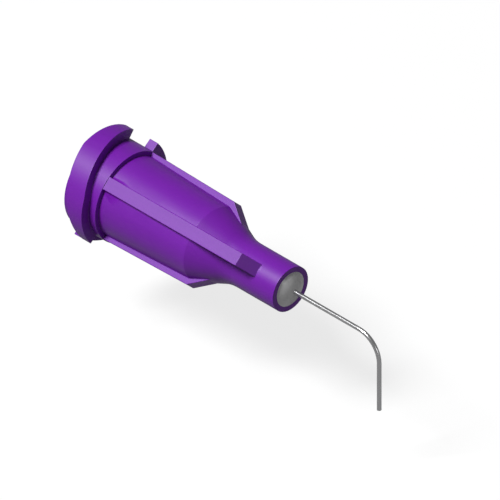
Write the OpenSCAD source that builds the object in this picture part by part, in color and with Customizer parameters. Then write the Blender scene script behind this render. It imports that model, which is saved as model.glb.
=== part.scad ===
// Dispensing needle tip: a moulded luer-lock hub with four ribs, a bent stainless needle, and the
// bead of adhesive that bonds the needle in the hub's nose.
// X runs along the hub from the middle of the socket's mouth, the needle bends down towards -Z.

/* [Luer socket] */
// Diameter of the tapered socket at its mouth
socket_d = 4.29; // [4.2:0.01:4.35]
// Diameter that the socket loses for each mm of depth
socket_taper = 0.06; // [0.05:0.005:0.07]
// Depth of the tapered socket
socket_depth = 8.6; // [7.5:0.1:9.4]
// Lead-in chamfer round the mouth
mouth_chamfer = 0.12; // [0.05:0.01:0.25]
// Length of the funnel from the socket's floor to the needle's inlet
funnel_len = 1.7; // [1.2:0.1:2.2]
// Flat ledge between the socket's wall and the funnel
funnel_ledge = 0.25; // [0.1:0.05:0.5]
// Diameter of the funnel where it ends at the needle's inlet
throat_d = 0.7; // [0.5:0.05:1.2]

/* [Neck and lock lugs] */
// Diameter of the neck at the hub's rear
neck_d = 6.5; // [6.3:0.05:6.7]
// Length of the neck
neck_len = 2.8; // [2.4:0.1:3.6]
// Diameter over the two lock lugs
lug_d = 7.78; // [7.4:0.01:7.83]
// Length of the lugs along the hub, from its rear face
lug_len = 2.2; // [1.9:0.1:2.35]
// Thickness of a lug's helical band along the hub
lug_band = 1.54; // [1.3:0.01:1.7]
// Lead of the lugs' right-hand thread, per turn
lug_lead = 5; // [4.6:0.1:5.4]
// Angle that each lug covers
lug_span = 165; // [120:1:170]
// Angle of the first lug's middle round the hub, from +Y towards +Z
lug_angle = 135.8; // [90:0.1:180]

/* [Hub body] */
// Step down in radius from the neck to the body
neck_step = 0.31; // [0.15:0.01:0.4]
// Length of the body between the neck and the cone
body_len = 7.43; // [6.8:0.1:9]
// Draft angle of the body
body_draft = 2.05; // [1:0.05:2.5]
// Half angle of the cone in front of the body
cone_angle = 22; // [16:0.5:28]
// Radius of the blend from the cone into the nose
blend_r = 2.9; // [1.5:0.1:4]

/* [Ribs] */
// Thickness of each rib
rib_t = 0.9; // [0.6:0.05:1.1]
// How far the ribs' outer edges start below the neck
rib_step = 0.02; // [0.01:0.01:0.3]
// Draft angle of the ribs' outer faces
rib_draft = 1.07; // [0.5:0.01:1.5]
// How far the short ribs' outer faces run past the body
short_rib_past = 0.07; // [0:0.01:0.4]
// Angle of the short ribs' end faces to the hub's axis
short_rib_slope = 35.8; // [30:0.1:45]
// How far the long ribs reach along the nose
long_rib_reach = 1.98; // [1:0.05:2.8]
// Angle of the long ribs' end faces to the hub's axis
long_rib_slope = 60.6; // [45:0.1:75]
// Angle of the first short rib round the hub, from +Y towards +Z
rib_angle = 45; // [0:1:90]

/* [Nose and adhesive] */
// Diameter of the nose
nose_d = 3.2; // [2.9:0.05:3.4]
// Length of the nose in front of the blend
nose_len = 3.8; // [3.2:0.1:5]
// Diameter of the adhesive well in the nose's end
well_d = 2.46; // [2:0.02:2.6]
// Depth of the adhesive well
well_depth = 3.9; // [2.5:0.1:4.6]
// Draft angle of the well
well_draft = 1; // [0.5:0.1:2]
// Height of the adhesive's dome in front of the nose
dome_h = 0.4; // [0.2:0.02:0.6]

/* [Needle] */
// Outer diameter of the needle
needle_od = 0.305; // [0.2:0.005:0.45]
// Wall of the needle
needle_wall = 0.075; // [0.04:0.005:0.09]
// Straight length from the nose's end to the bend
needle_run = 6.25; // [4:0.05:10]
// Radius of the bend, to the needle's centre line
bend_r = 1.8; // [1:0.05:3]
// Angle of the bend
bend_angle = 90; // [20:1:90]
// Straight length from the bend to the tip
tip_len = 3.62; // [2:0.02:6]
// Clearance round the needle in the hub's bore
needle_clear = 0.01; // [0.005:0.005:0.03]

/* [Hidden] */
$fn = 96;

neck_r = neck_d / 2;
lug_r = lug_d / 2;
nose_r = nose_d / 2;
well_r = well_d / 2;
needle_r = needle_od / 2;
bore_r = needle_r - needle_wall;

// The hub's outline, from the rear face forwards
body_rear_r = neck_r - neck_step;
body_x = neck_len + body_len;
body_front_r = body_rear_r - body_len * tan(body_draft);
blend_drop = blend_r * (1 - cos(cone_angle));
blend_len = blend_r * sin(cone_angle);
cone_front_r = nose_r + blend_drop;
cone_len = (body_front_r - cone_front_r) / tan(cone_angle);
nose_x = body_x + cone_len + blend_len;
hub_len = nose_x + nose_len;

// The hollows inside it
socket_r = socket_d / 2;
socket_floor_r = socket_r - socket_taper / 2 * socket_depth;
funnel_r = socket_floor_r - funnel_ledge;
inlet_x = socket_depth + funnel_len;
well_x = hub_len - well_depth;
well_floor_r = well_r - well_depth * tan(well_draft);

// The adhesive's dome is a cap of this sphere
dome_r = (well_r * well_r + dome_h * dome_h) / (2 * dome_h);

// What is cut or buried goes this far past the face that it crosses
past = 0.4;
// Angle between two sections of a lug's band
lug_step = 3;

// Turns a shape drawn along Z so that it lies along X
module along_x() {
    rotate([0, 90, 0]) children();
}

// Outline of the turned shape: neck, drafted body, cone, blend and nose
module hub_outline() {
    difference() {
        polygon([
            [0, 0], [neck_r, 0], [neck_r, neck_len], [body_rear_r, neck_len], [body_front_r, body_x],
            [cone_front_r, body_x + cone_len], [cone_front_r, nose_x], [nose_r, nose_x],
            [nose_r, hub_len], [0, hub_len]
        ]);
        translate([nose_r + blend_r, nose_x]) circle(r = blend_r);
    }
}

// Distance of the ribs' outer faces from the axis, at a place along the hub
rib_rear_r = sqrt((neck_r - rib_step) * (neck_r - rib_step) - rib_t * rib_t / 4);
function rib_r(x) = rib_rear_r - (x - neck_len) * tan(rib_draft);

// A flat rib that stands out at the given angle. Its end face slopes down from end_x
module rib(angle, end_x, slope) {
    end_r = rib_r(end_x);
    foot_r = nose_r - past;
    foot_x = end_x + (end_r - foot_r) / tan(slope);
    rotate([angle, 0, 0]) linear_extrude(rib_t, center = true) polygon([
        [neck_len, 0], [neck_len, rib_rear_r], [end_x, end_r], [foot_x, foot_r], [foot_x, 0]
    ]);
}

module short_rib(angle) {
    rib(angle, body_x + short_rib_past, short_rib_slope);
}

// The long rib's end face meets the nose long_rib_reach in front of the blend
module long_rib(angle) {
    drop = rib_r(nose_x + long_rib_reach) - nose_r;
    end_x = nose_x + long_rib_reach - drop / (tan(long_rib_slope) - tan(rib_draft));
    rib(angle, end_x, long_rib_slope);
}

// Middle of a lug's band along the hub, at an angle from the lug's own middle
function band_x(turn) = lug_len / 2 + turn * lug_lead / 360;

// Corners of the band's section there, a little over size inwards and outwards
function band_section(turn) = [
    for (corner = [[-1, neck_r - past], [1, neck_r - past], [1, lug_r + past], [-1, lug_r + past]])
        [band_x(turn) + corner[0] * lug_band / 2, corner[1] * cos(turn), corner[1] * sin(turn)]
];

// A lock lug: part of one turn of thread, cut to the lugs' diameter and to their length
module lug(angle) {
    steps = ceil(lug_span / lug_step);
    sections = [for (i = [0:steps]) band_section((i / steps - 0.5) * lug_span)];
    corners = len(sections[0]);
    sides = [
        for (i = [0:steps - 1], k = [0:corners - 1])
            let (a = i * corners + k, b = i * corners + (k + 1) % corners)
                each [[b, a, a + corners], [b, a + corners, b + corners]]
    ];
    ends = [
        [for (k = [0:corners - 1]) k],
        [for (k = [corners - 1:-1:0]) steps * corners + k]
    ];
    rotate([angle, 0, 0]) intersection() {
        polyhedron(points = [for (section = sections) each section], faces = concat(sides, ends));
        along_x() cylinder(r = lug_r, h = lug_len);
    }
}

// Luer socket, funnel, bore for the needle and adhesive well
module hub_hollow() {
    along_x() {
        translate([0, 0, -past]) cylinder(r = socket_r + mouth_chamfer, h = past);
        cylinder(r1 = socket_r + mouth_chamfer, r2 = socket_r - mouth_chamfer, h = 2 * mouth_chamfer);
        cylinder(r1 = socket_r, r2 = socket_floor_r, h = socket_depth);
        translate([0, 0, socket_depth]) cylinder(r1 = funnel_r, r2 = throat_d / 2, h = funnel_len);
        cylinder(r = needle_r + needle_clear, h = hub_len);
        translate([0, 0, well_x]) cylinder(r1 = well_floor_r, r2 = well_r, h = well_depth);
    }
}

module hub() {
    color("#70219e") difference() {
        union() {
            along_x() rotate_extrude() hub_outline();
            for (side = [0, 180]) {
                short_rib(rib_angle + side);
                long_rib(rib_angle + 90 + side);
                lug(lug_angle + side);
            }
        }
        hub_hollow();
    }
}

// A round rod along the needle's path, from the inlet to the tip and past both ends by extra
module needle_rod(r, extra) {
    translate([inlet_x - extra, 0, 0]) along_x() cylinder(r = r, h = hub_len + needle_run - inlet_x + extra);
    translate([hub_len + needle_run, 0, -bend_r]) {
        rotate([90, 0, 0]) rotate_extrude(start = 90 - bend_angle, angle = bend_angle)
            translate([bend_r, 0]) circle(r = r);
        rotate([0, bend_angle, 0]) translate([0, 0, bend_r]) along_x() cylinder(r = r, h = tip_len + extra);
    }
}

module needle_tube() {
    color("#c3c6cb") difference() {
        needle_rod(needle_r, 0);
        needle_rod(bore_r, past);
    }
}

// Adhesive that fills the well and domes up round the needle
module adhesive_bead() {
    color("#88888a") along_x() difference() {
        union() {
            translate([0, 0, well_x]) cylinder(r1 = well_floor_r, r2 = well_r, h = well_depth);
            intersection() {
                translate([0, 0, hub_len + dome_h - dome_r]) sphere(r = dome_r);
                translate([0, 0, hub_len]) cylinder(r = well_r, h = dome_h);
            }
        }
        cylinder(r = needle_r, h = hub_len + dome_h + past);
    }
}

hub();
needle_tube();
adhesive_bead();
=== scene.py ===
import bmesh
import bpy
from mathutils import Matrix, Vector


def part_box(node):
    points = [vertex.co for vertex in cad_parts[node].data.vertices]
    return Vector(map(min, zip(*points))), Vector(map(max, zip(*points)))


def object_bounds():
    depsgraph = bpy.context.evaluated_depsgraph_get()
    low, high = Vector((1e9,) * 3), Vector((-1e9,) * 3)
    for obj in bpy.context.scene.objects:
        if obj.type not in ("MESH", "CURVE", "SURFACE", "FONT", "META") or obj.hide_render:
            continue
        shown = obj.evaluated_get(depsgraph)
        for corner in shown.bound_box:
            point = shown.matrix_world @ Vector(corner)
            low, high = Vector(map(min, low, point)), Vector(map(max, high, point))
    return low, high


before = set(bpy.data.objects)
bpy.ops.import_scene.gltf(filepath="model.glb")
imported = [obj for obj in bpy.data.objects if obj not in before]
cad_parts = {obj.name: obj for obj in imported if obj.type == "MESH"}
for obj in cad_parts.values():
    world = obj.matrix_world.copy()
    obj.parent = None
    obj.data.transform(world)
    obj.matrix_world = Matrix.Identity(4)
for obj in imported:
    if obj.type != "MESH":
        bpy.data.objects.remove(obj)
cad_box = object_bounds()


# The hub is one moulding in polypropylene, dyed to the colour that stands for the needle's gauge. Its walls
# are satin from the steel of the mould, and the melt left faint streaks along them. The small radius that the
# mould leaves on every edge is in the shading here, and not in the mesh.
class Wire:
    """A node's output that takes part in sums, so that an expression adds its own Math nodes."""

    def __init__(self, socket):
        self.socket = socket

    def node(self, kind, settings, sockets, output=0):
        """Adds a node of a kind: its settings first, then a value or a wire for each socket."""
        made = self.socket.id_data.nodes.new(kind)
        for name, value in settings.items():
            setattr(made, name, value)
        for name, value in sockets.items():
            if isinstance(value, Wire):
                made.id_data.links.new(value.socket, made.inputs[name])
            else:
                made.inputs[name].default_value = value
        return Wire(made.outputs[output])

    def maths(self, operation, first, second):
        return self.node("ShaderNodeMath", {"operation": operation}, {0: first, 1: second})

    def __add__(self, other):
        return self.maths("ADD", self, other)

    def __mul__(self, other):
        return self.maths("MULTIPLY", self, other)

    def __sub__(self, other):
        return self.maths("SUBTRACT", self, other)

    def __rsub__(self, other):
        return self.maths("SUBTRACT", other, self)

    __radd__ = __add__
    __rmul__ = __mul__

    def noise(self, size, detail=2.0, stretch=(1, 1, 1)):
        """Noise whose features are about size metres across, longer along an axis that is stretched."""
        place = self.node("ShaderNodeMapping", {}, {"Vector": self, "Scale": [1 / s for s in stretch]})
        return self.node("ShaderNodeTexNoise", {}, {"Vector": place, "Scale": 1 / size, "Detail": detail})

    def blend(self, first, second):
        """Colour that goes from first to second as this value goes from 0 to 1."""
        settings = {"data_type": "RGBA"}
        return self.node("ShaderNodeMix", settings, {0: self, 6: first, 7: second}, output=2)

    def relief(self, height, strength, edge_radius):
        """Normal of a surface that this value raises by up to height metres, with its edges rounded."""
        edges = self.node("ShaderNodeBevel", {"samples": 8}, {"Radius": edge_radius})
        sockets = {"Height": self, "Distance": height, "Strength": strength, "Normal": edges}
        return self.node("ShaderNodeBump", {}, sockets)


def new_material(name, **constants):
    """A material, its surface shader's sockets with the constants set, and a wire of object coordinates."""
    material = bpy.data.materials.new(name)
    material.use_nodes = True
    sockets = material.node_tree.nodes["Principled BSDF"].inputs
    for constant, value in constants.items():
        sockets[constant.replace("_", " ")].default_value = value
    coordinates = material.node_tree.nodes.new("ShaderNodeTexCoord")
    return material, sockets, Wire(coordinates.outputs["Object"])


def feed(socket, wire):
    """Links a wire to a shader's socket."""
    socket.id_data.links.new(wire.socket, socket)


PURPLE = (0.145, 0.009, 0.315, 1)
PURPLE_DEEP = (0.118, 0.006, 0.270, 1)
streak_width = 0.0006
streak_length = 9
cloud_size = 0.0035
grain_size = 0.00009
satin = 0.33
streaks_roughen = 0.08
grain_roughens = 0.06
skin_height = 0.000012
mould_radius = 0.00006

plastic, sockets, place = new_material("dyed_polypropylene", IOR=1.49, Specular_IOR_Level=0.4,
                                       Subsurface_Weight=0.08, Subsurface_Scale=0.0005,
                                       Subsurface_Radius=(0.5, 0.12, 0.7))
streaks = place.noise(streak_width, detail=3.0, stretch=(streak_length, 1, 1))
cloud = place.noise(cloud_size)
grain = place.noise(grain_size)
feed(sockets["Base Color"], (streaks * 0.5 + cloud * 0.5).blend(PURPLE_DEEP, PURPLE))
feed(sockets["Roughness"], satin + streaks * streaks_roughen + grain * grain_roughens)
feed(sockets["Normal"], (grain * 0.4 + streaks * 0.6).relief(skin_height, 0.5, mould_radius))

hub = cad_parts["hub"]
hub.material_slots[0].material = plastic

# The needle is a drawn stainless tube, cut square and deburred, then bent round a mandrel. Drawing left fine
# lines along it, which turn with the bend: they run forwards up to the bend and downwards on the leg.
STEEL = (0.66, 0.66, 0.67, 1)
STEEL_DARK = (0.50, 0.50, 0.51, 1)
line_width = 0.00003
line_length = 40
bend_reach = 0.002
leg_width = 0.0004
bright = 0.18
lines_roughen = 0.16
line_height = 0.000003
deburr_radius = 0.00001

steel, sockets, place = new_material("drawn_stainless", Metallic=1.0)
needle_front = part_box("needle_tube")[1].x
along_run = place.noise(line_width, stretch=(line_length, 1, 1))
along_leg = place.noise(line_width, stretch=(1, 1, line_length))
forwards = place.node("ShaderNodeSeparateXYZ", {}, {"Vector": place})
on_leg = forwards.node("ShaderNodeMapRange", {}, {
    "Value": forwards, "From Min": needle_front - bend_reach, "From Max": needle_front - leg_width})
lines = along_run * (1 - on_leg) + along_leg * on_leg
feed(sockets["Base Color"], lines.blend(STEEL_DARK, STEEL))
feed(sockets["Roughness"], bright + lines * lines_roughen)
feed(sockets["Normal"], lines.relief(line_height, 0.5, deburr_radius))

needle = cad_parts["needle_tube"]
needle.material_slots[0].material = steel

# The adhesive is a two-part epoxy, metered into the well in the hub's nose once the needle is in place. It
# cured grey and glossy, and its surface domes up a little round the needle.
EPOXY = (0.50, 0.50, 0.505, 1)
EPOXY_PALE = (0.58, 0.58, 0.585, 1)
filler_size = 0.0001
swirl_size = 0.0007
glossy = 0.22
swirls_roughen = 0.12
swirl_height = 0.00002
meniscus_radius = 0.00003

epoxy, sockets, place = new_material("cured_epoxy", IOR=1.55, Coat_Weight=0.4, Coat_Roughness=0.08)
filler = place.noise(filler_size, detail=3.0)
swirl = place.noise(swirl_size)
feed(sockets["Base Color"], (filler * 0.5 + swirl * 0.5).blend(EPOXY, EPOXY_PALE))
feed(sockets["Roughness"], glossy + swirl * swirls_roughen)
feed(sockets["Normal"], swirl.relief(swirl_height, 0.4, meniscus_radius))

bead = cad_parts["adhesive_bead"]
bead.material_slots[0].material = epoxy

# The studio is a pale floor below the tip, a soft key lamp high on the camera's left, a weaker lamp in front
# of the nose, and a white surround that lights the tip faintly and shows in the steel.
middle = (cad_box[0] + cad_box[1]) / 2
FLOOR_GREY = (0.17, 0.17, 0.17, 1)
floor_drop = 0.004
floor_half_width = 1.0
floor_white = 0.79
floor_mirrored = 0.15
lamp_distance = 1.0
fill = 0.06
surround_mirrored = 0.16


def pale(name, colour, white, in_mirrors):
    """A pale surround: the camera and mirrors see it near white, and it takes shadows as a wall does."""
    material = bpy.data.materials.new(name)
    material.use_nodes = True
    tree = material.node_tree
    tree.nodes.remove(tree.nodes["Principled BSDF"])
    path = tree.nodes.new("ShaderNodeLightPath")
    seen = Wire(path.outputs["Is Camera Ray"])
    mirrored = Wire(path.outputs["Is Glossy Ray"]) + Wire(path.outputs["Is Transmission Ray"])
    shown = seen * white + mirrored * in_mirrors
    matt = seen.node("ShaderNodeBsdfDiffuse", {}, {"Color": colour})
    glow = seen.node("ShaderNodeEmission", {}, {"Strength": shown})
    both = seen.node("ShaderNodeAddShader", {}, {0: matt, 1: glow})
    feed(tree.nodes["Material Output"].inputs["Surface"], both)
    return material


mesh = bpy.data.meshes.new("floor")
builder = bmesh.new()
bmesh.ops.create_grid(builder, x_segments=1, y_segments=1, size=floor_half_width)
bmesh.ops.translate(builder, verts=builder.verts, vec=(middle.x, 0, cad_box[0].z - floor_drop))
builder.to_mesh(mesh)
builder.free()
floor = bpy.data.objects.new("floor", mesh)
bpy.context.collection.objects.link(floor)
mesh.materials.append(pale("floor_pale", FLOOR_GREY, floor_white, floor_mirrored))


def lamp(name, direction, size, power):
    """A square soft lamp that faces the middle of the tip."""
    light = bpy.data.lights.new(name, "AREA")
    light.size = size
    light.energy = power
    stand = bpy.data.objects.new(name, light)
    stand.location = middle + Vector(direction).normalized() * lamp_distance
    stand.rotation_euler = Vector(direction).to_track_quat("Z", "Y").to_euler()
    bpy.context.collection.objects.link(stand)


lamp("key_lamp", direction=(-0.25, -0.57, 0.82), size=0.3, power=15.5)
lamp("front_lamp", direction=(0.95, -0.1, 0.3), size=0.4, power=1.1)

world = bpy.data.worlds.new("surround")
world.use_nodes = True
tree = world.node_tree
path = tree.nodes.new("ShaderNodeLightPath")
seen = Wire(path.outputs["Is Camera Ray"])
mirrored = Wire(path.outputs["Is Glossy Ray"]) + Wire(path.outputs["Is Transmission Ray"])
background = tree.nodes["Background"].inputs
feed(background["Strength"], fill + seen * (1 - fill) + mirrored * surround_mirrored)
background["Color"].default_value = (1, 1, 1, 1)
bpy.context.scene.world = world

# The camera looks along the frame's diagonal with no perspective, from in front of the nose, above it and on
# its -Y side. The end of the nose is the reference for the framing.
view_width = 0.03205
aim_left = 0.00259
aim_up = 0.00252
stand_off = 0.5
near_limit = 0.001
towards = Vector((1, -1, 1)).normalized()
right = Vector((1, 1, 0)).normalized()
up = towards.cross(right)
nose_end = Vector((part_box("hub")[1].x, 0, 0))
lens = bpy.data.cameras.new("camera")
lens.type = "ORTHO"
lens.ortho_scale = view_width
lens.clip_start = near_limit
camera = bpy.data.objects.new("camera", lens)
camera.location = nose_end - right * aim_left + up * aim_up + towards * stand_off
camera.rotation_euler = towards.to_track_quat("Z", "Y").to_euler()
bpy.context.collection.objects.link(camera)
bpy.context.scene.camera = camera

bpy.context.scene.view_settings.view_transform = "Standard"
